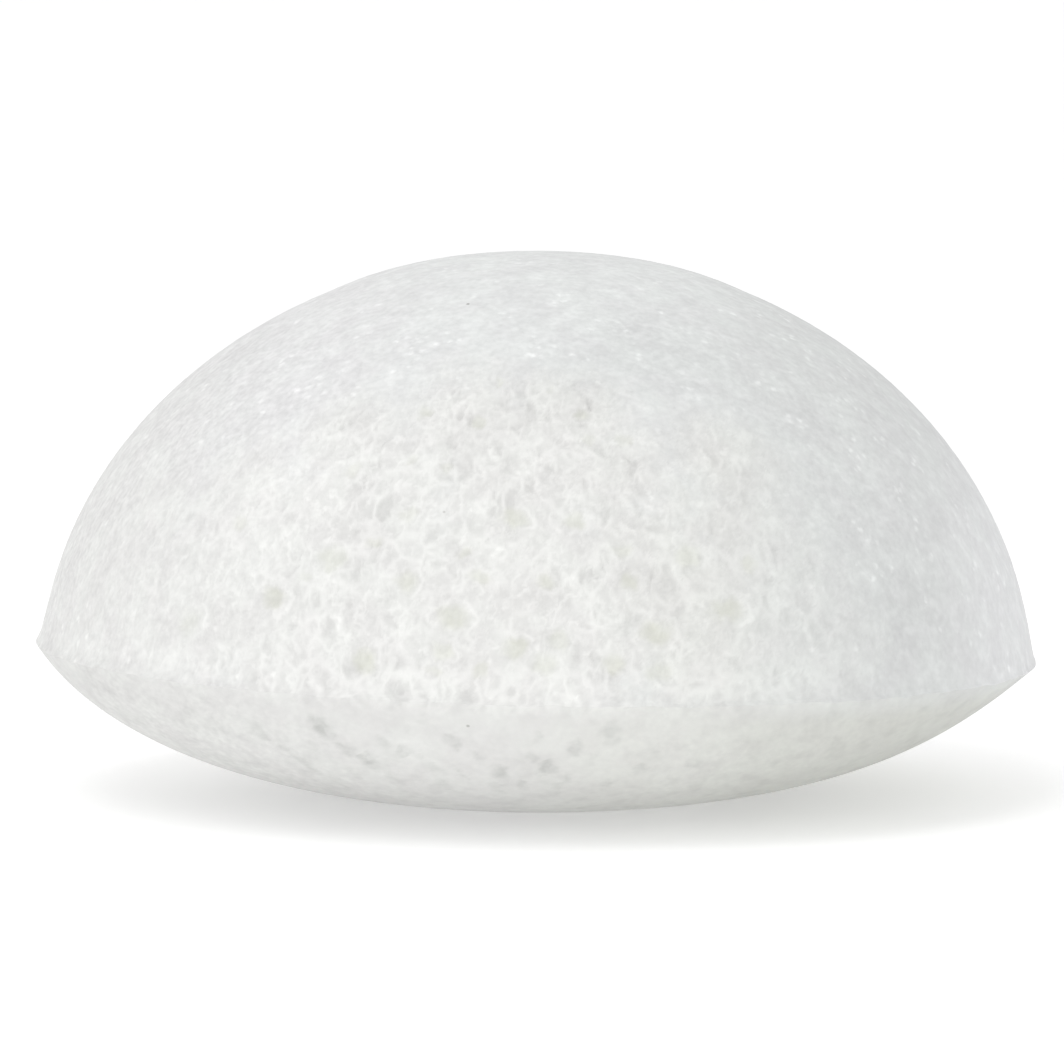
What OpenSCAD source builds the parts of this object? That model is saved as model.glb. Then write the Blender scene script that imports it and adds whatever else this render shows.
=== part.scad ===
// Half-ball konjac sponge: a tall dome over a shallow, bulging base, meeting at a sharp rim.
// It is one casting of gel foam. Its four nodes are the zones that a cut through it shows:
// the fine skin of the dome, the closed skin of the base, the coarse core and the lip at the rim.
// The origin is the middle of the flat foot that the sponge stands on, with +Z up.

/* [Overall] */
// Diameter over the rim's lip
rim_d = 80; // [60:1:110]
// Height of the crown above the rim
crown_h = 32; // [22:0.5:45]
// Depth of the base's bulge below the rim, before its foot is cut flat
base_h = 12; // [8:0.5:20]

/* [Dome] */
// How far the dome's curve is centred below the rim, which leans its wall inwards
dome_drop = 3.5; // [1:0.5:8]
// Thickness of the fine-pored skin at the crown
dome_skin_t = 1.5; // [0.8:0.1:3]

/* [Base] */
// How far the base's curve is centred above the rim, which slopes its edge
base_rise = 6; // [1:0.5:10]
// Thickness of the closed skin under the base, at its deepest point
base_skin_t = 1.8; // [1:0.1:3]
// Depth cut flat from the lowest point, where the sponge stands
foot_cut = 0.5; // [0.2:0.1:0.9]

/* [Rim] */
// Thickness of both skins where they meet at the rim
rim_skin_t = 1.6; // [0.8:0.1:3]
// How far the lip stands out past the dome's wall
lip_out = 0.6; // [0.3:0.1:1.2]
// Height of the lip up the dome's wall
lip_h = 1; // [0.5:0.1:2]

/* [Hidden] */

// The powers of the two curves: 2 is an ellipse, and more is fuller and flatter at the pole
dome_power = 2;
base_power = 2.2;
curve_steps = 32;
round_fn = 128;

rim_r = rim_d / 2;
wall_r = rim_r - lip_out;
core_r = wall_r - rim_skin_t;
rim_z = base_h - foot_cut;

dome_white = [0.94, 0.95, 0.94];
base_white = [0.92, 0.92, 0.90];
core_white = [0.96, 0.96, 0.93];
lip_white = [0.89, 0.89, 0.87];

// Half the width of the whole superellipse whose arc starts at radius r, drop above its middle,
// and rises h from there to the pole
function half_width(r, h, drop, power) = r / pow(1 - pow(drop / (h + drop), power), 1 / power);

// Radius of that arc at a height z above its start
function radius_at(z, r, h, drop, power) =
    half_width(r, h, drop, power) * pow(1 - pow((z + drop) / (h + drop), power), 1 / power);

// Points of that arc, from [r, 0] up to [0, h]
function arc_points(r, h, drop, power) =
    let (start = asin(pow(drop / (h + drop), power / 2)))
    [
        for (i = [0:curve_steps])
            let (angle = start + (90 - start) * i / curve_steps)
            [
                half_width(r, h, drop, power) * pow(cos(angle), 2 / power),
                (h + drop) * pow(sin(angle), 2 / power) - drop
            ]
    ];

function reversed(points) = [for (i = [len(points) - 1:-1:0]) points[i]];
function upside_down(points) = [for (p = points) [p.x, -p.y]];

function dome_outside() = arc_points(wall_r, crown_h, dome_drop, dome_power);
function dome_inside() = arc_points(core_r, crown_h - dome_skin_t, dome_drop, dome_power);
function base_outside() = upside_down(arc_points(rim_r, base_h, base_rise, base_power));
function base_inside() = upside_down(arc_points(core_r, base_h - base_skin_t, base_rise, base_power));

// Turns a half section, drawn with the rim at height 0, into a solid standing on its foot
module turned() {
    translate([0, 0, rim_z])
        rotate_extrude($fn = round_fn)
            children();
}

// The fine-pored layer that lay against the mould
module dome_skin() {
    color(dome_white)
        turned()
            polygon(concat(dome_outside(), reversed(dome_inside())));
}

// The closed layer that formed on the open side of the mould, cut flat at its foot
module base_skin() {
    color(base_white)
        turned()
            intersection() {
                polygon(concat(base_outside(), reversed(base_inside())));
                translate([0, -rim_z])
                    square([rim_r, rim_z]);
            }
}

// The coarse open-celled foam that both skins enclose
module foam_core() {
    color(core_white)
        turned()
            polygon(concat(dome_inside(), reversed(base_inside())));
}

// The thin flash round the mould's edge, standing on the base skin against the dome's wall
module rim_lip() {
    wall_at_top = radius_at(lip_h, wall_r, crown_h, dome_drop, dome_power);
    color(lip_white)
        turned()
            difference() {
                polygon([[core_r, 0], [rim_r, 0], [wall_at_top, lip_h], [core_r, lip_h]]);
                polygon(concat([[0, 0]], dome_outside()));
            }
}

dome_skin();
base_skin();
foam_core();
rim_lip();
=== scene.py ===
"""A half-ball konjac sponge, standing on a pale floor in soft studio light.

The sponge is one casting of gel foam. Its pieces are the zones that the casting has: the porous skin of
the dome, the closed skin of the base, the coarse core that both enclose and the thin lip round the rim.
Each starts as a smooth closed shape. Geometry Nodes then open its cells and pits, and store on it what
the materials read: each point's place on the smooth skin, its rise above the rim, how open the cells
are there, how deep in a cell or a pit it lies and how near a cell's wall or a strand.
"""
import math

import bmesh
import bpy
import numpy as np
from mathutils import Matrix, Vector
from mathutils.bvhtree import BVHTree


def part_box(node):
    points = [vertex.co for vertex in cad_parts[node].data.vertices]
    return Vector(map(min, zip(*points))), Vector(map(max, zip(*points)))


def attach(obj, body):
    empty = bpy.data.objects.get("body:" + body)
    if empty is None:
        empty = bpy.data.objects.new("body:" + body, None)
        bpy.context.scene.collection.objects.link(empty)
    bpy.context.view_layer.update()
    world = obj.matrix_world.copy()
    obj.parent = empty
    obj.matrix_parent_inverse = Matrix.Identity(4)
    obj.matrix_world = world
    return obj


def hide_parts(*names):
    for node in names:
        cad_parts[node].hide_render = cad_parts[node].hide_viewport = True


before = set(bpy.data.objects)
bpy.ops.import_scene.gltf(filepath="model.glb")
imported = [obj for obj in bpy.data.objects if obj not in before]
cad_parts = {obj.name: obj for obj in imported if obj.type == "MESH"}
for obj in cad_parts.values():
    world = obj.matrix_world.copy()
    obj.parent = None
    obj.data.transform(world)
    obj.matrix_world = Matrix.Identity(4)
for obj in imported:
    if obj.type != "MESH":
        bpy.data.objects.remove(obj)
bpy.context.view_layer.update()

MM = 0.001

# Places taken from the solids
DOME_LOW, DOME_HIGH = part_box("dome_skin")
BASE_LOW, BASE_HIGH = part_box("base_skin")
CORE_LOW, CORE_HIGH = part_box("foam_core")
LIP_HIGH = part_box("rim_lip")[1]
RIM_Z = DOME_LOW[2]
WALL_R = DOME_HIGH[0]
RIM_R = BASE_HIGH[0]
CORE_R = CORE_HIGH[0]
CROWN_H = DOME_HIGH[2] - RIM_Z
LIP_H = LIP_HIGH[2] - RIM_Z

# The curves of the solids
DOME_DROP, DOME_POWER = 3.5 * MM, 2
BASE_RISE, BASE_POWER = 6 * MM, 2.2
FOOT_CUT = 0.5 * MM
BASE_H = RIM_Z - BASE_LOW[2] + FOOT_CUT

# How the damp sponge slumps: its rim dips to the right and is raised, its dome swells and leans to the
# right, its crown flattens, its wall flares at the rim, and its base shifts and is slack at the right
RIM_DIP = math.radians(1.33)
RIM_RISE = 0.25 * MM
DOME_SWELL = 0.009
DOME_LEAN = 0.25 * MM
CROWN_RISE = 0.15 * MM
CROWN_FLAT = 0.15 * MM
CROWN_PART = 10  # the crown is the top one of so many equal parts of the dome's height
WALL_FLARE, FLARE_HEIGHT = 0.5 * MM, 1.5 * MM
BASE_SHIFT = 0.6 * MM
BASE_SLACK = 1.4 * MM

# How its outline wavers: turns, share of the radius and phase. The rim also waves up and down: turns,
# height and phase. Those waves die away over a reach above and below, and by a power inwards
WAVES = ((2, 0.0035, 0.6), (3, 0.0025, 2.1), (5, 0.0012, 4.0))
RIM_WAVES = ((17, 0.03 * MM, 0.4), (37, 0.03 * MM, 2.0), (61, 0.03 * MM, 1.1), (103, 0.02 * MM, 3.0))
RIM_WAVES_REACH, RIM_WAVES_POWER = 2 * MM, 8

# The photograph's view
PHOTO_SIZE = 1064
CAMERA_DISTANCE = 0.62
CAMERA_ELEVATION = math.radians(5.4)
VIEW_WIDTH = 0.0854
VIEW_CENTRE = Vector((-0.28 * MM, 0, 21.14 * MM))
SENSOR_WIDTH = 36.0


# Node trees

class Value:
    """A socket in a node tree. Python's operators on it add the tree's Math nodes."""

    def __init__(self, tree, socket):
        self.tree = tree
        self.socket = socket

    def math(self, operation, *inputs):
        return self.tree.add("ShaderNodeMath", {"operation": operation}, list(inputs))

    def __add__(self, other):
        return self.math("ADD", self, other)

    def __radd__(self, other):
        return self.math("ADD", other, self)

    def __sub__(self, other):
        return self.math("SUBTRACT", self, other)

    def __rsub__(self, other):
        return self.math("SUBTRACT", other, self)

    def __mul__(self, other):
        return self.math("MULTIPLY", self, other)

    def __truediv__(self, other):
        return self.math("DIVIDE", self, other)

    def __rtruediv__(self, other):
        return self.math("DIVIDE", other, self)

    def __gt__(self, other):
        return self.math("GREATER_THAN", self, other)

    def least(self, other):
        return self.math("MINIMUM", self, other)

    def most(self, other):
        return self.math("MAXIMUM", self, other)

    def size(self):
        return self.math("ABSOLUTE", self)


class Tree:
    """A shader's or a geometry's node tree, and the few ways that this scene adds to it."""

    def __init__(self, node_tree):
        self.node_tree = node_tree

    def add(self, kind, settings=None, inputs=(), output=0):
        """Adds a node, sets it and fills its sockets, and returns one of its outputs as a Value."""
        node = self.node_tree.nodes.new(kind)
        for name, setting in (settings or {}).items():
            setattr(node, name, setting)
        for key, value in (inputs.items() if isinstance(inputs, dict) else enumerate(inputs)):
            self.fill(node.inputs[key], value)
        return Value(self, node.outputs[output]) if node.outputs else None

    def fill(self, socket, value):
        if isinstance(value, Value):
            self.node_tree.links.new(value.socket, socket)
        else:
            socket.default_value = value

    def ease(self, value, low, high, to_low=0.0, to_high=1.0):
        """Goes smoothly from to_low to to_high while value goes from low to high."""
        return self.add("ShaderNodeMapRange", {"interpolation_type": "SMOOTHSTEP"},
                        [value, low, high, to_low, to_high])

    def fade(self, value, low, high):
        """Goes smoothly from 1 to 0 while value goes from low to high."""
        return self.ease(value, low, high, 1.0, 0.0)

    def vector_math(self, operation, *inputs):
        return self.add("ShaderNodeVectorMath", {"operation": operation}, list(inputs))

    def scale(self, vector, factor):
        return self.add("ShaderNodeVectorMath", {"operation": "SCALE"},
                        {"Vector": vector, "Scale": factor})

    def distance(self, place, other):
        return self.add("ShaderNodeVectorMath", {"operation": "DISTANCE"}, [place, other], 1)

    def part(self, vector, axis):
        return self.add("ShaderNodeSeparateXYZ", None, [vector], "XYZ".index(axis))

    def noise(self, place, size, detail=2.0, roughness=0.5):
        """Smooth noise about 0.5, with lumps of about the given size."""
        return self.add("ShaderNodeTexNoise", None,
                        {"Vector": place, "Scale": 1 / size, "Detail": detail, "Roughness": roughness})

    def wander(self, place, size, reach, detail=1.0):
        """A place moved about by noise, by up to about reach."""
        colour = self.add("ShaderNodeTexNoise", None,
                          {"Vector": place, "Scale": 1 / size, "Detail": detail}, 1)
        centred = self.vector_math("SUBTRACT", colour, (0.5, 0.5, 0.5))
        return self.vector_math("ADD", place, self.scale(centred, 2 * reach))

    def cell_edge(self, place, size):
        """Distance to the nearest wall between cells, in cell sizes."""
        return self.add("ShaderNodeTexVoronoi", {"feature": "DISTANCE_TO_EDGE"},
                        {"Vector": place, "Scale": 1 / size})

    def cell_middle(self, place, size):
        """Distance to the nearest cell's own point, in cell sizes."""
        return self.add("ShaderNodeTexVoronoi", {"feature": "F1"},
                        {"Vector": place, "Scale": 1 / size})

    def cell_chance(self, place, size):
        """A number from 0 to 1 that is the same all over a cell."""
        colour = self.add("ShaderNodeTexVoronoi", {"feature": "F1"},
                          {"Vector": place, "Scale": 1 / size}, 1)
        return self.part(colour, "X")

    def mix(self, share, first, second):
        """Colours mixed: first where share is 0, second where it is 1."""
        return self.add("ShaderNodeMix", {"data_type": "RGBA"}, {0: share, 6: first, 7: second}, 2)

    def attribute(self, name, vector=False):
        if self.node_tree.type == "GEOMETRY":
            return self.add("GeometryNodeInputNamedAttribute", {"data_type": "FLOAT"}, {"Name": name})
        return self.add("ShaderNodeAttribute", {"attribute_name": name}, (), 1 if vector else 2)


# The view

def photograph_camera():
    """The camera at the photograph's angle, looking along +Y and a little down."""
    away = Vector((0, -math.cos(CAMERA_ELEVATION), math.sin(CAMERA_ELEVATION)))
    lens = bpy.data.cameras.new("camera")
    lens.sensor_width = SENSOR_WIDTH
    lens.lens = SENSOR_WIDTH * CAMERA_DISTANCE / VIEW_WIDTH
    lens.clip_start = 0.01
    camera = bpy.data.objects.new("camera", lens)
    camera.location = VIEW_CENTRE + away * CAMERA_DISTANCE
    camera.rotation_euler = (math.pi / 2 - CAMERA_ELEVATION, 0, 0)
    bpy.context.collection.objects.link(camera)
    bpy.context.scene.camera = camera
    return camera


def ray_through(x, y):
    """Start and direction of the camera's ray through a pixel of the photograph."""
    across = (x / PHOTO_SIZE - 0.5) * VIEW_WIDTH / CAMERA_DISTANCE
    up = (0.5 - y / PHOTO_SIZE) * VIEW_WIDTH / CAMERA_DISTANCE
    direction = Vector((across, up, -1))
    direction.rotate(camera.rotation_euler)
    return camera.location, direction.normalized()


# Smooth closed shapes

def arc(share, radius, height, drop, power):
    """Radius and height on a superellipse arc, at a share of the way from its pole down to its start."""
    start = math.asin((drop / (height + drop)) ** (power / 2))
    angle = math.pi / 2 - share * (math.pi / 2 - start)
    half_width = radius / math.cos(start) ** (2 / power)
    cosine = np.maximum(np.cos(angle), 0)
    return half_width * cosine ** (2 / power), (height + drop) * np.sin(angle) ** (2 / power) - drop


def dome_curve(radius, height, flared=0.0):
    def curve(share):
        r, z = arc(share, radius, height, DOME_DROP, DOME_POWER)
        return r + flared * flare(z), RIM_Z + z
    return curve


def base_curve(radius, depth):
    def curve(share):
        r, z = arc(share, radius, depth, BASE_RISE, BASE_POWER)
        return r, np.maximum(RIM_Z - z, 0)
    return curve


def flare(height):
    """How far the damp wall spreads at a height above the rim."""
    return WALL_FLARE * np.exp(-height / FLARE_HEIGHT)


def wall_radius(height):
    """Radius of the dome's outside at a height above the rim."""
    top = CROWN_H + DOME_DROP
    curve = np.sqrt((1 - ((height + DOME_DROP) / top) ** 2) / (1 - (DOME_DROP / top) ** 2))
    return WALL_R * curve + flare(height)


def slump(points):
    """Tilts the rim, swells the dome, shifts the base and wavers the outline, as a damp sponge does."""
    x, y, z = points.T
    turn = np.arctan2(y, x)
    high = np.clip((z - RIM_Z) / CROWN_H, 0, 1)
    low = np.clip(1 - z / RIM_Z, 0, 1)
    middle = np.sqrt(4 * high * (1 - high))
    wave = 1 + sum(size * np.sin(count * turn + phase) for count, size, phase in WAVES)
    wave = wave + DOME_SWELL * middle
    slack = BASE_SLACK * np.clip(x / RIM_R, 0, 1) * 4 * low * (1 - low)
    crown = np.clip(high * CROWN_PART - (CROWN_PART - 1), 0, 1)
    ragged = sum(size * np.sin(count * turn + phase) for count, size, phase in RIM_WAVES)
    ragged = ragged * np.clip(1 - abs(z - RIM_Z) / RIM_WAVES_REACH, 0, 1)
    ragged = ragged * np.clip(np.hypot(x, y) / RIM_R, 0, 1) ** RIM_WAVES_POWER
    lift = CROWN_RISE * high + CROWN_FLAT * 4 * crown * (1 - crown) + ragged
    return np.stack([
        x * wave + DOME_LEAN * middle + BASE_SHIFT * low - slack,
        y * wave,
        z + (RIM_RISE - x * math.tan(RIM_DIP)) * (1 - high) * (1 - low) + lift,
    ], axis=1)


def sheet(curve, steps):
    """A round sheet of evenly sized squares turned about Z: its points, its faces and its rim's loop."""
    line = np.linspace(-1, 1, steps + 1)
    across, along = np.meshgrid(line, line, indexing="ij")
    share = np.maximum(abs(across), abs(along))
    safe = np.maximum(share, 1e-12)
    sideways = abs(across) >= abs(along)
    slope = np.where(sideways, along, across) / safe
    turn = np.where(
        sideways,
        np.where(across >= 0, slope * math.pi / 4, math.pi - slope * math.pi / 4),
        np.where(along >= 0, math.pi / 2 - slope * math.pi / 4, -math.pi / 2 + slope * math.pi / 4),
    )
    radius, height = curve(share)
    points = np.stack([radius * np.cos(turn), radius * np.sin(turn), height], axis=-1).reshape(-1, 3)
    index = np.arange((steps + 1) ** 2).reshape(steps + 1, steps + 1)
    faces = np.stack([index[:-1, :-1], index[1:, :-1], index[1:, 1:], index[:-1, 1:]], axis=-1)
    loop = np.concatenate([index[:-1, 0], index[-1, :-1], index[:0:-1, -1], index[0, :0:-1]])
    return points, faces.reshape(-1, 4), loop


def band(outer, inner):
    """Triangles that join two loops which turn alike, whatever their counts."""
    faces = []
    i = j = 0
    while i < len(outer) or j < len(inner):
        a, b = outer[i % len(outer)], inner[j % len(inner)]
        if (i + 1) / len(outer) <= (j + 1) / len(inner):
            i += 1
            faces.append((a, outer[i % len(outer)], b))
        else:
            j += 1
            faces.append((a, inner[j % len(inner)], b))
    return faces


def smooth_piece(name, smooth, faces, worked):
    """An object of a smooth shape, slumped. worked is 1 where its cells are opened."""
    mesh = bpy.data.meshes.new(name)
    mesh.from_pydata(slump(smooth).tolist(), [], faces)
    mesh.attributes.new("worked", "FLOAT", "POINT").data.foreach_set("value", worked.astype(float))
    mesh.attributes.new("rise", "FLOAT", "POINT").data.foreach_set("value", smooth[:, 2] - RIM_Z)
    piece = bpy.data.objects.new(name, mesh)
    bpy.context.collection.objects.link(piece)
    return piece


def closed_shape(name, top, top_steps, bottom, bottom_steps, worked):
    """A closed body between a top and a bottom sheet. worked names the sheet whose cells are opened."""
    top_points, top_faces, top_loop = sheet(top, top_steps)
    bottom_points, bottom_faces, bottom_loop = sheet(bottom, bottom_steps)
    offset = len(top_points)
    if np.allclose(top_points[top_loop[0]], bottom_points[bottom_loop[0]]):
        joined = np.arange(len(bottom_points)) + offset
        joined[bottom_loop] = top_loop
        bottom_faces = joined[bottom_faces]
        between = []
    else:
        bottom_faces = bottom_faces + offset
        between = [face[::-1] for face in band(top_loop.tolist(), (bottom_loop + offset).tolist())]
    smooth = np.concatenate([top_points, bottom_points])
    faces = [*top_faces.tolist(), *bottom_faces[:, ::-1].tolist(), *between]
    on_top = np.arange(len(smooth)) < offset
    share = {"top": on_top, "bottom": ~on_top, "both": np.ones(len(smooth), bool)}[worked]
    piece = smooth_piece(name, smooth, faces, share)
    if not between:
        drop_loose_points(piece.data)
    return piece


def drop_loose_points(mesh):
    """Deletes the points that no face uses."""
    work = bmesh.new()
    work.from_mesh(mesh)
    bmesh.ops.delete(work, geom=[v for v in work.verts if not v.link_faces], context="VERTS")
    work.to_mesh(mesh)
    work.free()


# How finely the lip is divided, round the rim and up its outside
LIP_STEPS = 1800
LIP_ROWS = 9

# Its height round the rim, as a share of its height in the solids: the least at the right, the most at
# the left, the power of the change between them, and how uneven it is, by turns, share and phase
LIP_LEAST, LIP_MOST, LIP_TO_LEFT = 0.35, 1.0, 3
LIP_UNEVEN = ((17, 0.04, 2.4), (41, 0.04, 0.7), (97, 0.04, 5.1))
LIP_SWEEP = 1.4  # the power of the curve up which the lip runs out, where 1 is straight
LIP_ROOT = 0.6 * MM  # how far the lip reaches into the dome's skin
LIP_INSIDE = 0.9  # height of its inner edge, as a share of its outside's


def lip_shape(name):
    """A thin closed ring on the base's edge, whose outside sweeps up into the dome's wall."""
    turn = np.linspace(0, 2 * math.pi, LIP_STEPS, endpoint=False)
    leftness = ((1 - np.cos(turn)) / 2) ** LIP_TO_LEFT
    uneven = sum(size * np.cos(count * turn - phase) for count, size, phase in LIP_UNEVEN)
    height = LIP_H * (LIP_LEAST + (LIP_MOST - LIP_LEAST) * leftness + uneven)
    width = RIM_R - wall_radius(0)
    edge = np.full(LIP_STEPS, RIM_R)
    section = [(edge - width - LIP_ROOT, height * 0), (edge, height * 0)]
    for row in range(1, LIP_ROWS + 1):
        up = row / LIP_ROWS
        wall = wall_radius(height * up)
        section.append((wall + width * (1 - up) ** LIP_SWEEP, height * up))
    section.append((wall - LIP_ROOT, height * LIP_INSIDE))
    points = [np.stack([r * np.cos(turn), r * np.sin(turn), RIM_Z + z], axis=1) for r, z in section]
    count = len(section)
    index = np.arange(count * LIP_STEPS).reshape(count, LIP_STEPS)
    after = np.roll(index, -1, axis=1)
    faces = []
    for i in range(count):
        j = (i + 1) % count
        faces += np.stack([index[i], after[i], after[j], index[j]], axis=1).tolist()
    smooth = np.concatenate(points)
    return smooth_piece(name, smooth, faces, np.zeros(len(smooth)))


# Patches of open cells in the front of the dome: x and y in the photograph's pixels, and reach in mm
FRONT_PATCHES = (
    (500, 610, 17), (515, 480, 10), (560, 425, 6), (465, 425, 6.5), (385, 500, 10), (300, 550, 10),
    (215, 590, 9), (140, 610, 7), (245, 505, 6.5), (350, 440, 5), (640, 570, 9), (705, 630, 9),
    (790, 665, 6), (340, 640, 12), (600, 480, 6), (95, 590, 6), (70, 630, 5), (150, 530, 5),
    (750, 535, 6), (735, 470, 5), (790, 600, 6), (840, 650, 5),
)

# The same at the sides and the back: turn about Z in degrees, height above the rim and reach in mm
BACK_PATCHES = (
    (8, 1, 8), (62, 2, 15), (88, 6, 13), (78, 13, 8), (104, 3, 12), (128, 1, 9), (152, 2, 11),
    (140, 8, 7),
)

# Large pits in the front of the dome: x and y in the photograph's pixels, and width in mm
DOME_PITS = (
    (331, 564, 2.6), (453, 619, 2.5), (445, 651, 1.7), (481, 668, 1.2), (514, 646, 2.2),
    (514, 519, 2.2), (576, 520, 2.0), (407, 517, 1.5), (690, 556, 2.2), (623, 552, 1.6),
    (657, 637, 2.3), (612, 659, 1.7), (661, 673, 1.8), (545, 665, 1.9), (500, 385, 1.1),
    (551, 390, 0.9), (580, 415, 1.6), (586, 439, 1.2), (626, 439, 1.4), (426, 412, 1.6),
    (482, 421, 1.5), (412, 459, 1.2), (448, 465, 1.2), (354, 468, 1.3), (404, 581, 1.9),
    (273, 596, 2.2), (304, 577, 1.2), (239, 524, 1.5), (376, 543, 1.2), (482, 577, 1.7),
    (548, 581, 1.5), (467, 552, 1.2), (364, 659, 2.2), (726, 609, 2.6), (748, 562, 1.6),
    (629, 581, 1.6), (189, 621, 2.4), (436, 671, 1.2), (560, 640, 1.6),
)

# Bubbles under the skin in the front of the base, in the same measures
BASE_BUBBLES = (
    (323, 728, 2.0), (350, 753, 1.4), (366, 759, 2.0), (406, 750, 1.7), (430, 767, 1.4), (439, 782, 1.3),
    (502, 772, 1.7), (497, 790, 1.4), (545, 768, 1.7), (557, 787, 1.3), (577, 747, 1.3), (612, 731, 1.8),
    (255, 730, 2.0), (390, 778, 1.3), (640, 770, 1.2), (300, 760, 1.5), (330, 780, 1.2), (450, 740, 1.3),
    (385, 743, 1.1), (420, 756, 1.0), (463, 776, 1.1), (476, 758, 0.9), (522, 782, 1.2), (531, 757, 1.0),
    (567, 776, 1.1), (590, 762, 1.0), (604, 784, 1.2), (312, 744, 1.0), (283, 748, 1.1), (352, 772, 1.1),
    (655, 752, 0.9), (690, 765, 1.1), (420, 722, 0.9), (540, 735, 0.9),
)

# Dark specks in the foam, in the same measures, and how strongly they show
SPECKS = ((468, 304, 0.34, 0.65), (468, 726, 0.34, 0.5), (444, 512, 0.26, 0.3))
SPECK_COLOUR = (0.20, 0.19, 0.17, 1)

# Places where the foam is made lighter or darker in patches, in the same measures, and how much lighter
# it
# is there. The darker ones at the top of the web are denser foam. The others are painted light and
# shade:
# lighter where the light falls most, at the front left and at the right edge, and darker on the shaded
# right and at the left end
LIGHTER_DARKER_PLACES = (
    (650, 350, 8, -0.07), (565, 390, 6, -0.06), (905, 610, 8, -0.05), (80, 670, 4, -0.05),
    (310, 480, 9, 0.04), (245, 515, 6, 0.03), (965, 540, 7, 0.03), (725, 375, 6, -0.03),
    (235, 360, 7, -0.03),
)

# The deepest that a pit goes, inside the thickness of the dome's skin
DEEPEST = 1.3 * MM

# An edge that bends by more than this is a corner, such as the rim, and isn't smoothed
SHARP = math.radians(65)


# The cells

# The radius at which the unrolled surface keeps its size, and the least radius that it is unrolled from
UNROLLED_R, UNROLLED_LEAST = 34 * MM, 25 * MM

# How much of the way in to the axis counts as way up the surface
DOME_SLOPE, BASE_SLOPE = 0.5, 0.1

# Sizes of the foam's wide cells, of the long upright ones near the rim, of the small round ones and of
# its strands, and how closely cells are packed along each axis, where less than 1 draws them out
WIDE_CELL, LONG_CELL, SMALL_CELL = 1.35 * MM, 1.4 * MM, 1.1 * MM
THICK_STRAND, THIN_STRAND = 1.3 * MM, 0.7 * MM
WIDE_PACKED, LONG_PACKED = (1, 1, 0.55), (1, 1, 0.3)

# How strongly each kind of cell hollows the foam, and how strongly its walls or strands show
WIDE_HOLLOW, LONG_HOLLOW, SMALL_HOLLOW = 0.9, 1.1, 0.25
WIDE_WALL, SMALL_WALL, THIN_WALL = 0.8, 0.5, 0.6

# How open the foam is where its cells begin to open and where they are open
FULLY_OPEN, PARTLY_OPEN = (0.35, 0.95), (0.0, 0.6)

# The heights above the rim over which the long cells fade out, and how far they thin out the wide ones
FRINGE, FRINGE_THINS = (1.5 * MM, 5 * MM), 0.6

# How cells bend: the size of the bends and their reach
WIDE_BENDS, FINE_BENDS = (1.8 * MM, 0.7 * MM), (0.7 * MM, 0.22 * MM)

# From a cell's wall to its full depth, in cell sizes, and the chances between which cells grow deep
WIDE_SIDE, LONG_SIDE = (0.04, 0.4), (0.03, 0.35)
WIDE_CHANCE, LONG_CHANCE = (0.2, 1.0), (0.1, 0.8)

# Widths of walls, in cell sizes, and of strands, in the measure of their noise
WIDE_WALL_WIDTH, LONG_WALL_WIDTH = 0.2, 0.18
THICK_WIDTH, THIN_WIDTH = 0.08, 0.12

# Walls of wide cells show in patches of this size, and those of small cells between them
WALL_PATCH, IN_PATCH, OUT_OF_PATCH = 2.6 * MM, (0.42, 0.6), (0.4, 0.6)

# Small round cells, in cell sizes: how far they bend, their least radius and how much more it may be,
# their gap to the next one, their side, and the middle and the width of their brim
BUBBLE_BEND, BUBBLE_LEAST, BUBBLE_MORE, BUBBLE_GAP = 0.3, 0.2, 0.3, 0.08
BUBBLE_SIDE, BUBBLE_BRIM, BUBBLE_BRIM_WIDTH = (-0.25, 0.06), 0.05, 0.1

# Noise of this size, in strand sizes, breaks the strands between these values
STRAND_BREAKS, STRAND_BREAK_RANGE = 0.8, (0.4, 0.6)

# The ragged edge of the patches of open cells: its size and reach, and the values over which cells open
RAGGED_SIZE, RAGGED_REACH, OPENING = 6 * MM, 1.3, (-0.45, 0.6)

# How openness, relief, walls and hollows fade along X: from and to a place, and the shares there
OPEN_AT_LEFT, OPEN_AT_RIGHT = (-40 * MM, -26 * MM, 0.5, 1.0), (14 * MM, 32 * MM, 1.0, 0.55)
RELIEF_AT_LEFT, WALLS_AT_RIGHT = (-38 * MM, -14 * MM, 0.5, 1.0), (6 * MM, 20 * MM, 1.0, 0.75)
MIDDLE_X, HOLLOWS_OFF_MIDDLE = -3 * MM, (8 * MM, 22 * MM, 1.0, 0.6)

# Large pits: how their outlines bend, how much shallower small ones are, their side and the place and
# width of their brim in shares of their reach, from which side the brim shows, and how far they clear
# the cells away. The brim shows only on a pit's right side, as a painted highlight where the light from
# the left falls, and it also stands out a little as relief
PIT_BENDS = (1.2 * MM, 0.85 * MM, 3.0)
PIT_BY_REACH = (0.4 * MM, 1.1 * MM, 0.45, 1.0)
PIT_SIDE, BRIM_AT, BRIM_WIDTH, BRIM_FROM_RIGHT = (0.35, 1.2), 1.25, 0.3, (-0.2, 1.0)
PIT_CLEARS_HOLLOW, PIT_CLEARS_WALL = 0.5, 0.4

# How far walls stand out beside the depth of the cells, and the heights over which relief starts
WALL_RELIEF = 0.2
CLEAR_OF_RIM = (LIP_H * 0.8, LIP_H * 2.5)


def unrolled(tree, place, slope):
    """A place on the foam's surface when that is unrolled about Z."""
    flat = tree.vector_math("MULTIPLY", place, (1, 1, 0))
    radius = tree.distance(flat, (0, 0, 0))
    around = tree.scale(flat, UNROLLED_R / radius.most(UNROLLED_LEAST))
    up = tree.part(place, "Z") + (RIM_R - radius) * slope
    return tree.vector_math("ADD", around, tree.add("ShaderNodeCombineXYZ", None, {"Z": up}))


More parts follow.
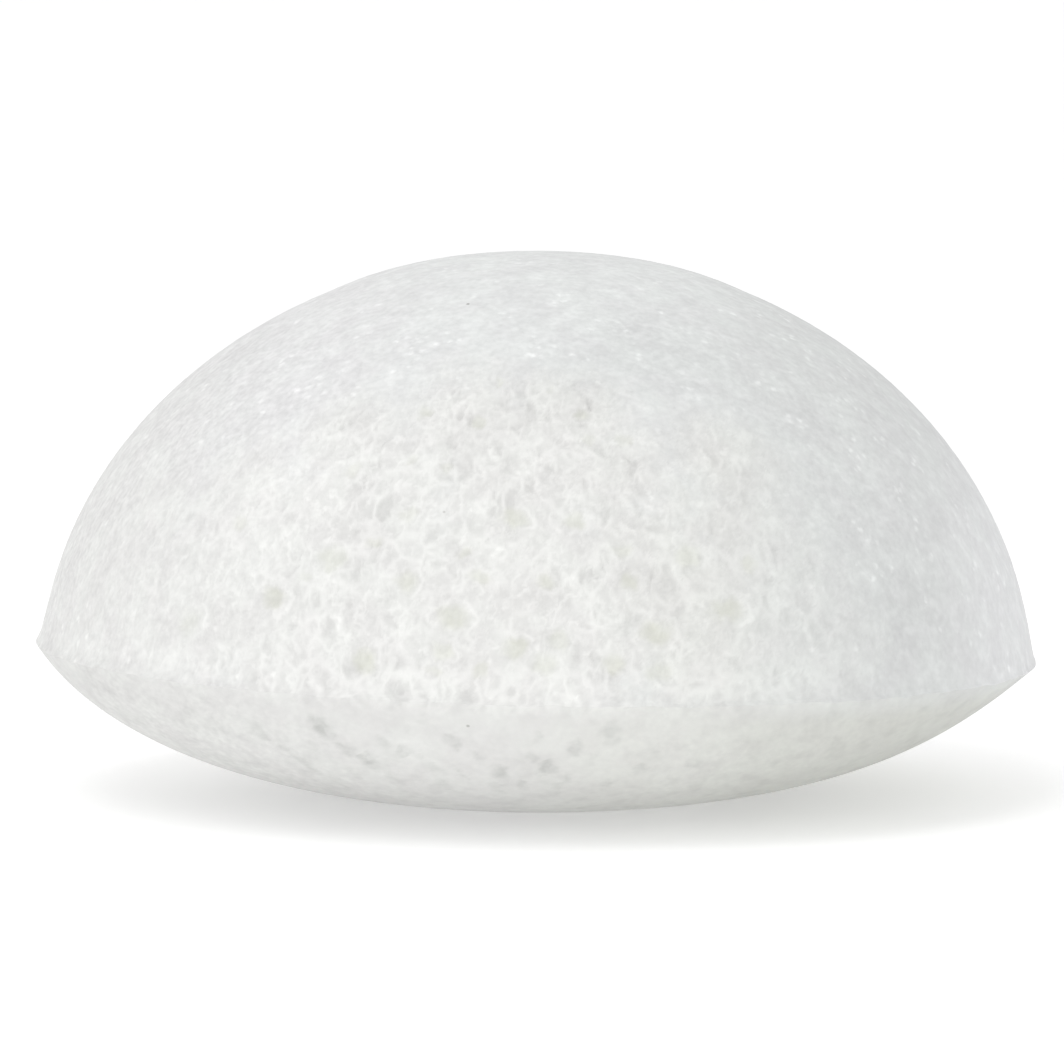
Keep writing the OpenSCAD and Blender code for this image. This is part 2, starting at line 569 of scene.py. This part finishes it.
def bubbles(tree, place, size):
    """Round cells of mixed widths: how deep in one a place lies, and how near a cell's edge."""
    bent = tree.wander(place, size, size * BUBBLE_BEND, 2.0)
    radius = tree.cell_chance(bent, size) * BUBBLE_MORE + BUBBLE_LEAST
    inside = tree.cell_middle(bent, size) - radius
    within = tree.ease(tree.cell_edge(bent, size), 0.0, BUBBLE_GAP)
    hollow = tree.fade(inside, *BUBBLE_SIDE) * within
    return hollow, tree.fade((inside - BUBBLE_BRIM).size(), 0.0, BUBBLE_BRIM_WIDTH) * within


def strands(tree, place, size, width):
    """Fibres that wind through the foam, broken into short lengths."""
    middle = (tree.noise(place, size, 2.0, 0.5) - 0.5).size()
    breaks = tree.noise(place, size * STRAND_BREAKS, 1.0)
    return tree.fade(middle, 0.0, width) * tree.ease(breaks, *STRAND_BREAK_RANGE)


def foam_cells(tree, place, rise, opened):
    """How deep in an open cell a place lies, and how near a wall's or strand's middle, from 0 to 1."""
    fully = tree.ease(opened, *FULLY_OPEN)
    partly = tree.ease(opened, *PARTLY_OPEN)
    fringe = tree.fade(rise, *FRINGE)
    patchy = tree.noise(place, WALL_PATCH, 1.0)
    bent = tree.wander(tree.wander(place, *WIDE_BENDS, 2.0), *FINE_BENDS)
    upright = tree.vector_math("MULTIPLY", bent, WIDE_PACKED)
    long = tree.vector_math("MULTIPLY", bent, LONG_PACKED)
    wide_edge = tree.cell_edge(upright, WIDE_CELL)
    long_edge = tree.cell_edge(long, LONG_CELL)
    small_hollow, small_edge = bubbles(tree, place, SMALL_CELL)

    wide_deep = tree.ease(tree.cell_chance(upright, WIDE_CELL), *WIDE_CHANCE)
    long_deep = tree.ease(tree.cell_chance(long, LONG_CELL), *LONG_CHANCE)
    wide_hollow = tree.ease(wide_edge, *WIDE_SIDE) * wide_deep
    long_hollow = tree.ease(long_edge, *LONG_SIDE) * long_deep
    hollow = wide_hollow * (1 - fringe * FRINGE_THINS) * fully * WIDE_HOLLOW
    hollow = hollow + small_hollow * partly * SMALL_HOLLOW + long_hollow * fringe * fully * LONG_HOLLOW

    wide_wall = tree.fade(wide_edge, 0.0, WIDE_WALL_WIDTH) * tree.ease(patchy, *IN_PATCH)
    wide_wall = wide_wall * fully * WIDE_WALL
    small_wall = small_edge * tree.ease(patchy, *OUT_OF_PATCH, SMALL_WALL, 0.0) * partly
    long_wall = tree.fade(long_edge, 0.0, LONG_WALL_WIDTH) * fringe * fully
    thick = strands(tree, upright, THICK_STRAND, THICK_WIDTH) * fully
    thin = strands(tree, upright, THIN_STRAND, THIN_WIDTH) * partly * THIN_WALL
    wall = wide_wall.most(small_wall).most(long_wall).most(thick).most(thin)
    return hollow, wall


def tree_inputs(group, sockets):
    """Gives a geometry tree its named inputs and one output, and returns the inputs as Values."""
    tree = Tree(group)
    group.is_modifier = True
    for name, kind in sockets:
        group.interface.new_socket(name, in_out="INPUT", socket_type=kind)
    group.interface.new_socket("Geometry", in_out="OUTPUT", socket_type="NodeSocketGeometry")
    source = group.nodes.new("NodeGroupInput")
    return tree, {socket.name: Value(tree, socket) for socket in source.outputs if socket.name}


def set_input(modifier, name, value):
    """Sets a modifier's input by the identifier of the socket with that name."""
    for item in modifier.node_group.interface.items_tree:
        if item.item_type == "SOCKET" and item.in_out == "INPUT" and item.name == name:
            modifier[item.identifier] = value
            return
    raise KeyError(name)


def openness(tree, place, patches):
    """How far the cells are open, from 0 to 1: fully inside the patches, and raggedly at their edges."""
    nearest = None
    for centre, reach in patches:
        inside = 1 - tree.distance(place, centre) / reach
        nearest = inside if nearest is None else nearest.most(inside)
    ragged = nearest + (tree.noise(place, RAGGED_SIZE, 4.0, 0.7) - 0.5) * RAGGED_REACH
    return tree.ease(ragged, *OPENING)


def nearest_pit(tree, pits, place, slope):
    """How far a place is from the nearest pit's middle and how far right of it, in reaches of that pit,
    and the reach itself."""
    points = tree.add("GeometryNodeObjectInfo", {"transform_space": "ORIGINAL"}, {0: pits}, "Geometry")
    nearest = tree.add("GeometryNodeSampleNearest", {"domain": "POINT"}, [points, place])
    middle = tree.add("GeometryNodeSampleIndex", {"data_type": "FLOAT_VECTOR", "domain": "POINT"},
                      {"Geometry": points, "Value": place, "Index": nearest})
    reach = tree.add("GeometryNodeSampleIndex", {"data_type": "FLOAT", "domain": "POINT"},
                     {"Geometry": points, "Value": tree.attribute("reach"), "Index": nearest})
    place, middle = unrolled(tree, place, slope), unrolled(tree, middle, slope)
    offset = tree.vector_math("SUBTRACT", place, middle)
    return tree.distance(place, middle) / reach, tree.part(offset, "X") / reach, reach


def cell_tree(patches):
    """The tree that opens cells, grain and large pits in a smooth foam shape."""
    group = bpy.data.node_groups.new("open cells", "GeometryNodeTree")
    tree, given = tree_inputs(group, [
        ("Geometry", "NodeSocketGeometry"),
        ("Cell Depth", "NodeSocketFloat"),
        ("Grain Size", "NodeSocketFloat"),
        ("Grain Depth", "NodeSocketFloat"),
        ("Pit Depth", "NodeSocketFloat"),
        ("Open Everywhere", "NodeSocketFloat"),
        ("Slope", "NodeSocketFloat"),
        ("Pits", "NodeSocketObject"),
        ("Material", "NodeSocketMaterial"),
    ])
    place = tree.add("GeometryNodeInputPosition")
    normal = tree.add("GeometryNodeInputNormal")
    rise = tree.attribute("rise")
    across = tree.part(place, "X")
    ends = tree.ease(across, *OPEN_AT_LEFT) * tree.ease(across, *OPEN_AT_RIGHT)
    opened = (openness(tree, place, patches) * ends).most(given["Open Everywhere"])
    hollow, wall = foam_cells(tree, unrolled(tree, place, given["Slope"]), rise, opened)
    left = tree.ease(across, *RELIEF_AT_LEFT)
    hollow = hollow * left * tree.ease((across - MIDDLE_X).size(), *HOLLOWS_OFF_MIDDLE)
    wall = wall * left * tree.ease(across, *WALLS_AT_RIGHT)

    bent = tree.wander(place, *PIT_BENDS)
    away, right, reach = nearest_pit(tree, given["Pits"], bent, given["Slope"])
    size = tree.ease(reach, *PIT_BY_REACH)
    pit = tree.fade(away, *PIT_SIDE) * size
    # A brim on the right of each pit: raised a little, and painted lighter as a highlight where the
    # light from the left falls
    brim_highlight = tree.fade((away - BRIM_AT).size(), 0.0, BRIM_WIDTH)
    brim_highlight = brim_highlight * tree.ease(right, *BRIM_FROM_RIGHT) * size
    hollow = hollow * (1 - pit * PIT_CLEARS_HOLLOW)
    wall = (wall * (1 - pit * PIT_CLEARS_WALL)).most(brim_highlight * opened)

    grain = tree.noise(place, given["Grain Size"], 2.0, 0.6) - 0.5
    depth = (hollow - wall * WALL_RELIEF) * given["Cell Depth"]
    depth = depth + grain * given["Grain Depth"] + pit * given["Pit Depth"]
    clear_of_rim = tree.ease(rise.size(), *CLEAR_OF_RIM)
    depth = depth.least(DEEPEST) * tree.attribute("worked") * clear_of_rim

    shape = given["Geometry"]
    stored = (
        ("skin", "FLOAT_VECTOR", place),
        ("open", "FLOAT", opened),
        ("hollow", "FLOAT", hollow),
        ("wall", "FLOAT", wall),
        ("pit", "FLOAT", pit),
    )
    for name, kind, value in stored:
        shape = tree.add("GeometryNodeStoreNamedAttribute", {"data_type": kind, "domain": "POINT"},
                         {"Geometry": shape, "Name": name, "Value": value})
    inwards = tree.scale(normal, depth * -1)
    shape = tree.add("GeometryNodeSetPosition", None, {"Geometry": shape, "Offset": inwards})
    shape = tree.add("GeometryNodeSetShadeSmooth", None, {"Geometry": shape})
    corner = tree.add("GeometryNodeInputMeshEdgeAngle") > SHARP
    shape = tree.add("GeometryNodeSetShadeSmooth", {"domain": "EDGE"},
                     {"Geometry": shape, "Selection": corner, "Shade Smooth": False})
    shape = tree.add("GeometryNodeRealizeInstances", None, {"Geometry": shape})
    shape = tree.add("GeometryNodeSetMaterial", None, {"Geometry": shape, "Material": given["Material"]})
    tree.add("NodeGroupOutput", None, [shape])
    return group


# Materials

# Faint tints that the foam's colour drifts between
TINTS = ((1.0, 0.996, 1.0, 1), (0.995, 1.0, 0.997, 1))

# Sizes of the pattern: the speckle, the lumps and the wide blotches, the spacing of the glints, which
# are highlights of wet gel painted lighter into the colour, and their groups, and the breaks in the pits
SPECKLE_SIZE, LUMP_SIZE, CLOUD_SIZE = 0.52 * MM, 1.5 * MM, 3.2 * MM
GLINT_SPACING, GLINT_GROUP, PIT_BREAKS = 1.0 * MM, 2.8 * MM, 0.9 * MM
GLINT_BENDS = (0.4 * MM, 0.25 * MM)

# The values between which lumps, groups of glints and breaks come in, and a glint fades from its middle
LUMP_RANGE, GROUP_RANGE, BREAK_RANGE = (0.42, 0.75), (0.5, 0.66), (0.4, 0.6)
GLINT_RANGE = (0.03, 0.42)

# How much weaker speckle, glints and lumps are where the cells are open
SPECKLE_WEAKER, GLINT_WEAKER, LUMP_WEAKER = 0.5, 0.5, 0.6

# How much a hollow darkens the foam, as painted shade in its recess, beside how much a wall lightens it
HOLLOW_SHADE = 0.7

# Places along X over which the speckle changes towards the left end and the right end
LEFT_END, RIGHT_END = (-32 * MM, -5 * MM), (22 * MM, 35 * MM)

# Height of the border at the rim, and how far the lumps make it wander
RIM_BORDER, RIM_WANDER = 1.4 * MM, 0.6 * MM

# How far a skin goes over to another at the very rim, the height of that change, and how it fades to the
# left
RIM_BLEND, RIM_BLEND_HEIGHT = 0.8, 2.2 * MM
BLEND_AT_LEFT = (-34 * MM, -14 * MM, 0.4, 1.0)

# How much of a pit's colour shows, by the blotches and towards the left
PIT_BY_CLOUD, PIT_AT_LEFT = (-0.2, 0.15, 0.95, 0.5), (-28 * MM, -16 * MM, 0.5, 1.0)

# The blotches' values over which the tint drifts, and the radii of a speck's middle and edge, in widths
TINT_RANGE = (-0.15, 0.15)
SPECK_MIDDLE, SPECK_EDGE = 0.15, 0.6

# How much speckle roughens and glints smooth the surface, how high speckle and lumps stand, and how
# strongly wet gel bends light
SPECKLE_ROUGHENS, GLINT_SMOOTHS = 0.3, 0.2
SPECKLE_HEIGHT, LUMP_HEIGHT = 0.7, 0.3
GEL_IOR = 1.36


def colour_across(tree, across, stops):
    """A colour that changes smoothly along X, between stops of a place in mm and a colour."""
    (place, colour), *rest = stops
    for next_place, next_colour in rest:
        colour = tree.mix(tree.ease(across, place * MM, next_place * MM), colour, next_colour)
        place = next_place
    return colour


def foam_material(name, skin, opened, pit, web, grain, painted_glints, lumps, clouds, left_grain, right_grain,
                  rim, rim_web, broken, rough, bump_reach, packed=(1, 1, 1), rim_skin=None, specks=(),
                  lighter_darker=()):
    """Damp gel foam.

    skin, opened and pit are its colours: of closed skin and open cells, by place along X, where their
    changes along X hold painted shade and light, and of pits, darker partly as painted shade in their
    recesses.
    web, grain, painted_glints, lumps and clouds are how strongly its strands, its speckle, its glints
    (highlights of wet gel painted into its colour), its lumps and its wide blotches show. left_grain and
    right_grain multiply the speckle at the two ends.
    rim is how much lighter it is at the rim, and rim_web how much more its strands show there. broken is
    how far its pits break up. packed is how closely its pattern is packed along each axis, and rim_skin
    is the skin that it blends into at the rim. specks are its dark specks, and lighter_darker its
    patches of denser foam and of painted light and shade.
    """
    material = bpy.data.materials.new(name)
    material.use_nodes = True
    tree = Tree(material.node_tree)
    shader = material.node_tree.nodes["Principled BSDF"]
    place = tree.attribute("skin", vector=True)
    across = tree.part(place, "X")
    opened_share = tree.attribute("open")
    laid = tree.vector_math("MULTIPLY", place, packed)

    speckle = tree.noise(laid, SPECKLE_SIZE, 2.0, 0.5) - 0.5
    lump = tree.ease(tree.noise(laid, LUMP_SIZE, 1.0), *LUMP_RANGE)
    cloud = tree.noise(laid, CLOUD_SIZE, 2.0) - 0.5
    # Glints: small spots painted lighter into the colour as highlights of wet gel, which also make the
    # surface smoother
    glint = tree.fade(tree.cell_middle(tree.wander(place, *GLINT_BENDS), GLINT_SPACING), *GLINT_RANGE)
    glint = glint * tree.ease(tree.noise(place, GLINT_GROUP, 2.0), *GROUP_RANGE)
    glint = glint * (1 - opened_share * GLINT_WEAKER)

    rise = tree.attribute("rise").size()
    # Walls lighter and hollows darker: the hollows' darkening is painted shade in their recesses, and
    # the walls hold the pits' brims, painted lighter on the side where the light falls
    relief = tree.attribute("wall") - tree.attribute("hollow") * HOLLOW_SHADE
    ends = tree.ease(across, *LEFT_END, left_grain, 1.0)
    ends = ends * tree.ease(across, *RIGHT_END, 1.0, right_grain)
    fine = speckle * (1 - opened_share * SPECKLE_WEAKER) * grain * ends + glint * painted_glints
    blotches = lump * lumps * (1 - opened_share * LUMP_WEAKER) + cloud * clouds
    near_rim = tree.fade(rise + lump * RIM_WANDER, 0.0, RIM_BORDER)
    tone = 1 + relief * (near_rim * rim_web + web) + fine + blotches + near_rim * rim
    # Patches of denser, darker foam, and of painted light and shade, lighter or darker
    for centre, reach, lighter in lighter_darker:
        tone = tone + tree.ease(tree.distance(place, centre), 0.0, reach, lighter, 0.0)
    base = colour_across(tree, across, skin)
    base = tree.mix(opened_share, base, colour_across(tree, across, opened))
    if rim_skin:
        share = tree.ease(rise, 0.0, RIM_BLEND_HEIGHT, RIM_BLEND, 0.0)
        share = share * tree.ease(across, *BLEND_AT_LEFT)
        base = tree.mix(share, base, colour_across(tree, across, rim_skin))
    # A pit's darker colour is partly its own olive grey and partly painted shade in its recess
    in_pit = tree.attribute("pit") * tree.ease(cloud, *PIT_BY_CLOUD)
    in_pit = in_pit * tree.ease(tree.noise(laid, PIT_BREAKS, 2.0), *BREAK_RANGE, 1 - broken, 1.0)
    in_pit = in_pit * tree.ease(across, *PIT_AT_LEFT)
    base = tree.mix(in_pit, base, pit)
    tint = tree.mix(tree.ease(cloud, *TINT_RANGE), *TINTS)
    base = tree.vector_math("MULTIPLY", tree.scale(base, tone), tint)
    for centre, width, strength in specks:
        spot = tree.ease(tree.distance(place, centre), width * SPECK_MIDDLE, width * SPECK_EDGE,
                         strength, 0.0)
        base = tree.mix(spot, base, SPECK_COLOUR)
    tree.fill(shader.inputs["Base Color"], base)

    roughness = rough + speckle * SPECKLE_ROUGHENS - glint * GLINT_SMOOTHS
    tree.fill(shader.inputs["Roughness"], roughness)
    height = speckle * SPECKLE_HEIGHT + lump * LUMP_HEIGHT
    bump = tree.add("ShaderNodeBump", None, {"Strength": 1.0, "Distance": bump_reach, "Height": height})
    tree.fill(shader.inputs["Normal"], bump)
    shader.inputs["IOR"].default_value = GEL_IOR
    return material


def plain_material(name, colour, glow):
    """A matte material that glows white a little."""
    material = bpy.data.materials.new(name)
    material.use_nodes = True
    shader = material.node_tree.nodes["Principled BSDF"]
    shader.inputs["Base Color"].default_value = colour
    shader.inputs["Roughness"].default_value = 0.9
    shader.inputs["Specular IOR Level"].default_value = 0.1
    shader.inputs["Emission Color"].default_value = (1, 1, 1, 1)
    shader.inputs["Emission Strength"].default_value = glow
    return material


# Pieces

def seen_on(surface, marks):
    """Places on a surface where the photograph shows marks, each with the mark's size in metres."""
    tree = BVHTree.FromPolygons([v.co for v in surface.data.vertices],
                                [p.vertices for p in surface.data.polygons])
    found = []
    for x, y, size, *more in marks:
        place = tree.ray_cast(*ray_through(x, y))[0]
        if place is not None:
            found.append((tuple(place), size * MM, *more))
    return found


def placed_at(curve, turn, share):
    """A place on a curve's slumped surface, at a turn about Z and a share of the way from the pole."""
    radius, height = curve(share)
    point = np.array([[radius * math.cos(turn), radius * math.sin(turn), float(height)]])
    return tuple(slump(point)[0])


def scattered(curve, count, turns, shares, widths, seed):
    """Marks strewn evenly over the part of a surface that the photograph doesn't show."""
    chance = np.random.RandomState(seed)
    found = []
    for _ in range(count):
        share = math.sqrt(chance.uniform(shares[0] ** 2, shares[1] ** 2))
        turn = math.radians(chance.uniform(*turns))
        width = widths[0] + (widths[1] - widths[0]) * chance.uniform() ** 2
        found.append((placed_at(curve, turn, share), width * MM))
    return found


def points_object(name, marks):
    """Marks as loose points with a reach, for a geometry tree to read."""
    mesh = bpy.data.meshes.new(name)
    mesh.from_pydata([place for place, _ in marks], [], [])
    reaches = [width / 2 for _, width in marks]
    mesh.attributes.new("reach", "FLOAT", "POINT").data.foreach_set("value", reaches)
    holder = bpy.data.objects.new(name, mesh)
    bpy.context.collection.objects.link(holder)
    return holder


def open_cells(piece, material, pits, **sizes):
    """Works a smooth shape with the cell tree and keeps the result as a plain mesh."""
    modifier = piece.modifiers.new("open cells", "NODES")
    modifier.node_group = cell_group
    set_input(modifier, "Material", material)
    set_input(modifier, "Pits", pits)
    for name, size in sizes.items():
        set_input(modifier, name.replace("_", " ").title(), float(size))
    bpy.context.view_layer.update()
    graph = bpy.context.evaluated_depsgraph_get()
    worked = bpy.data.meshes.new_from_object(piece.evaluated_get(graph), depsgraph=graph)
    piece.modifiers.remove(modifier)
    smooth = piece.data
    piece.data = worked
    bpy.data.meshes.remove(smooth)
    worked.name = piece.name


def declare(piece, node):
    """Attaches a piece to the root body and hides the part of the solids that it stands for."""
    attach(piece, "root")
    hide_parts(node)


# How many squares each round sheet is across: the skins' outsides, the core and the skins' insides
DOME_STEPS, BASE_STEPS, CORE_STEPS, INSIDE_STEPS = 640, 320, 140, 60

camera = photograph_camera()

dome_outside = dome_curve(WALL_R, CROWN_H, flared=1.0)
dome_inside = dome_curve(CORE_R, CORE_HIGH[2] - RIM_Z)
base_outside = base_curve(RIM_R, BASE_H)
base_inside = base_curve(CORE_R, RIM_Z - CORE_LOW[2])
dome = closed_shape("dome_skin_foam", dome_outside, DOME_STEPS, dome_inside, INSIDE_STEPS, "top")
base = closed_shape("base_skin_foam", base_inside, INSIDE_STEPS, base_outside, BASE_STEPS, "bottom")
core = closed_shape("foam_core_foam", dome_inside, CORE_STEPS, base_inside, CORE_STEPS, "both")
lip = lip_shape("rim_lip_foam")

patches = seen_on(dome, FRONT_PATCHES)
for turn, height, reach in BACK_PATCHES:
    radius = wall_radius(height * MM)
    turn = math.radians(turn)
    centre = (radius * math.cos(turn), radius * math.sin(turn), RIM_Z + height * MM)
    patches.append((centre, reach * MM))
cell_group = cell_tree(patches)

dome_pits = seen_on(dome, DOME_PITS)
dome_pits += scattered(dome_outside, count=60, turns=(0, 165), shares=(0.72, 0.97),
                       widths=(0.9, 2.5), seed=5)
base_pits = seen_on(base, BASE_BUBBLES)
base_pits += scattered(base_outside, count=70, turns=(-40, 230), shares=(0.15, 0.93),
                       widths=(0.6, 1.9), seed=9)
dome_specks = seen_on(dome, SPECKS)
base_specks = seen_on(base, SPECKS)
dome_lighter_darker = seen_on(dome, LIGHTER_DARKER_PLACES)
pits_of_dome = points_object("dome pits", dome_pits)
pits_of_base = points_object("base bubbles", base_pits)

# Colours of the dome's and the base's closed skin and of open cells: stops of a place along X in mm and
# a colour. The foam is warmer where its cells are open. It is darker and cooler at the right: the
# darkening there is painted shade, as if the light came from the left. The dome's last stop, lighter
# again, is a painted rim light at its right end, and the base's darkening towards both its ends is
# painted shade
DOME_SKIN_SHADED = (
    (-34, (0.765, 0.765, 0.754, 1)), (-18, (0.778, 0.778, 0.778, 1)), (-4, (0.768, 0.779, 0.773, 1)),
    (8, (0.755, 0.768, 0.761, 1)), (22, (0.690, 0.703, 0.695, 1)), (30, (0.682, 0.693, 0.688, 1)),
    (38, (0.758, 0.765, 0.769, 1)),
)
BASE_SKIN_SHADED = (
    (-38, (0.695, 0.695, 0.680, 1)), (-29, (0.727, 0.727, 0.712, 1)), (-20, (0.752, 0.752, 0.737, 1)),
    (-5, (0.765, 0.765, 0.750, 1)), (9, (0.733, 0.737, 0.710, 1)), (20, (0.662, 0.669, 0.635, 1)),
    (29, (0.618, 0.626, 0.590, 1)),
)
OPENED_SHADED = (
    (-30, (0.760, 0.760, 0.746, 1)), (3, (0.756, 0.756, 0.739, 1)), (12, (0.728, 0.731, 0.709, 1)),
    (20, (0.699, 0.709, 0.693, 1)), (30, (0.677, 0.689, 0.680, 1)),
)

# Colours in the pits of the dome, the bubbles of the base and the cells of the core. The dome's pits are
# darker partly for their own olive grey and partly as painted shade in their recesses
DOME_PIT, BASE_PIT, CORE_PIT = (0.68, 0.69, 0.62, 1), (0.54, 0.55, 0.53, 1), (0.66, 0.67, 0.6, 1)

# What the dome's material and the lip's have in common
dome_look = dict(
    skin=DOME_SKIN_SHADED, opened=OPENED_SHADED, pit=DOME_PIT, web=0.145, grain=0.27, painted_glints=0.2, lumps=0.07,
    clouds=0.165, left_grain=1.55, right_grain=0.7, rim=-0.03, rim_web=-0.03, broken=0.2,
    bump_reach=0.05 * MM)
dome_foam = foam_material("damp open foam", rough=0.6, specks=dome_specks, lighter_darker=dome_lighter_darker, **dome_look)
base_foam = foam_material(
    "closed gel skin", skin=BASE_SKIN_SHADED, opened=BASE_SKIN_SHADED, pit=BASE_PIT, web=0, grain=0.2, painted_glints=0,
    lumps=-0.08, clouds=0.15, left_grain=1.8, right_grain=0.9, rim=0, rim_web=0.1, broken=0.45,
    rough=0.5, bump_reach=0.02 * MM, packed=(1, 0.5, 1), rim_skin=OPENED_SHADED, specks=base_specks)
core_foam = foam_material(
    "coarse open foam", skin=OPENED_SHADED, opened=OPENED_SHADED, pit=CORE_PIT, web=0.13, grain=0.26, painted_glints=0.1,
    lumps=0.05, clouds=0.05, left_grain=1.0, right_grain=1.0, rim=0, rim_web=0, broken=0, rough=0.65,
    bump_reach=0.06 * MM)
lip_foam = foam_material("thin gel edge", rough=0.55, **dome_look)

open_cells(dome, dome_foam, pits_of_dome, cell_depth=0.22 * MM, grain_size=0.7 * MM,
           grain_depth=0.08 * MM, pit_depth=0.15 * MM, open_everywhere=0, slope=DOME_SLOPE)
open_cells(base, base_foam, pits_of_base, cell_depth=0, grain_size=0.8 * MM,
           grain_depth=0.03 * MM, pit_depth=0.05 * MM, open_everywhere=0, slope=BASE_SLOPE)
open_cells(core, core_foam, pits_of_dome, cell_depth=0.7 * MM, grain_size=0.8 * MM,
           grain_depth=0, pit_depth=0, open_everywhere=1, slope=DOME_SLOPE)
open_cells(lip, lip_foam, pits_of_dome, cell_depth=0, grain_size=0.7 * MM,
           grain_depth=0, pit_depth=0, open_everywhere=0, slope=DOME_SLOPE)
for helper in (pits_of_dome, pits_of_base):
    bpy.data.objects.remove(helper)
declare(dome, "dome_skin")
declare(base, "base_skin")
declare(core, "foam_core")
declare(lip, "rim_lip")

# The studio: a white sky, a pale floor and one large soft light from the upper left
SKY_STRENGTH = 0.83
FLOOR_REACH, FLOOR_COLOUR, FLOOR_GLOW = 4, (0.86, 0.86, 0.86, 1), 0.29
KEY_PLACE, KEY_WIDTH, KEY_POWER = (-0.30, -0.58, 0.90), 0.5, 2.2

floor_mesh = bpy.data.meshes.new("floor")
floor_corners = [(x * FLOOR_REACH, y * FLOOR_REACH, 0) for x, y in ((-1, -1), (1, -1), (1, 1), (-1, 1))]
floor_mesh.from_pydata(floor_corners, [], [(0, 1, 2, 3)])
floor_mesh.materials.append(plain_material("pale floor", FLOOR_COLOUR, FLOOR_GLOW))
floor = bpy.data.objects.new("floor", floor_mesh)
bpy.context.collection.objects.link(floor)

world = bpy.data.worlds.new("studio")
bpy.context.scene.world = world
world.use_nodes = True
world.node_tree.nodes["Background"].inputs["Color"].default_value = (1, 1, 1, 1)
world.node_tree.nodes["Background"].inputs["Strength"].default_value = SKY_STRENGTH
bpy.context.scene.view_settings.view_transform = "Standard"


def soft_light(name, place, width, power):
    """A square light that faces the sponge."""
    lamp = bpy.data.lights.new(name, "AREA")
    lamp.shape = "SQUARE"
    lamp.size = width
    lamp.energy = power
    light = bpy.data.objects.new(name, lamp)
    light.location = place
    light.rotation_euler = (VIEW_CENTRE - Vector(place)).to_track_quat("-Z", "Y").to_euler()
    bpy.context.collection.objects.link(light)


soft_light("key", KEY_PLACE, KEY_WIDTH, KEY_POWER)
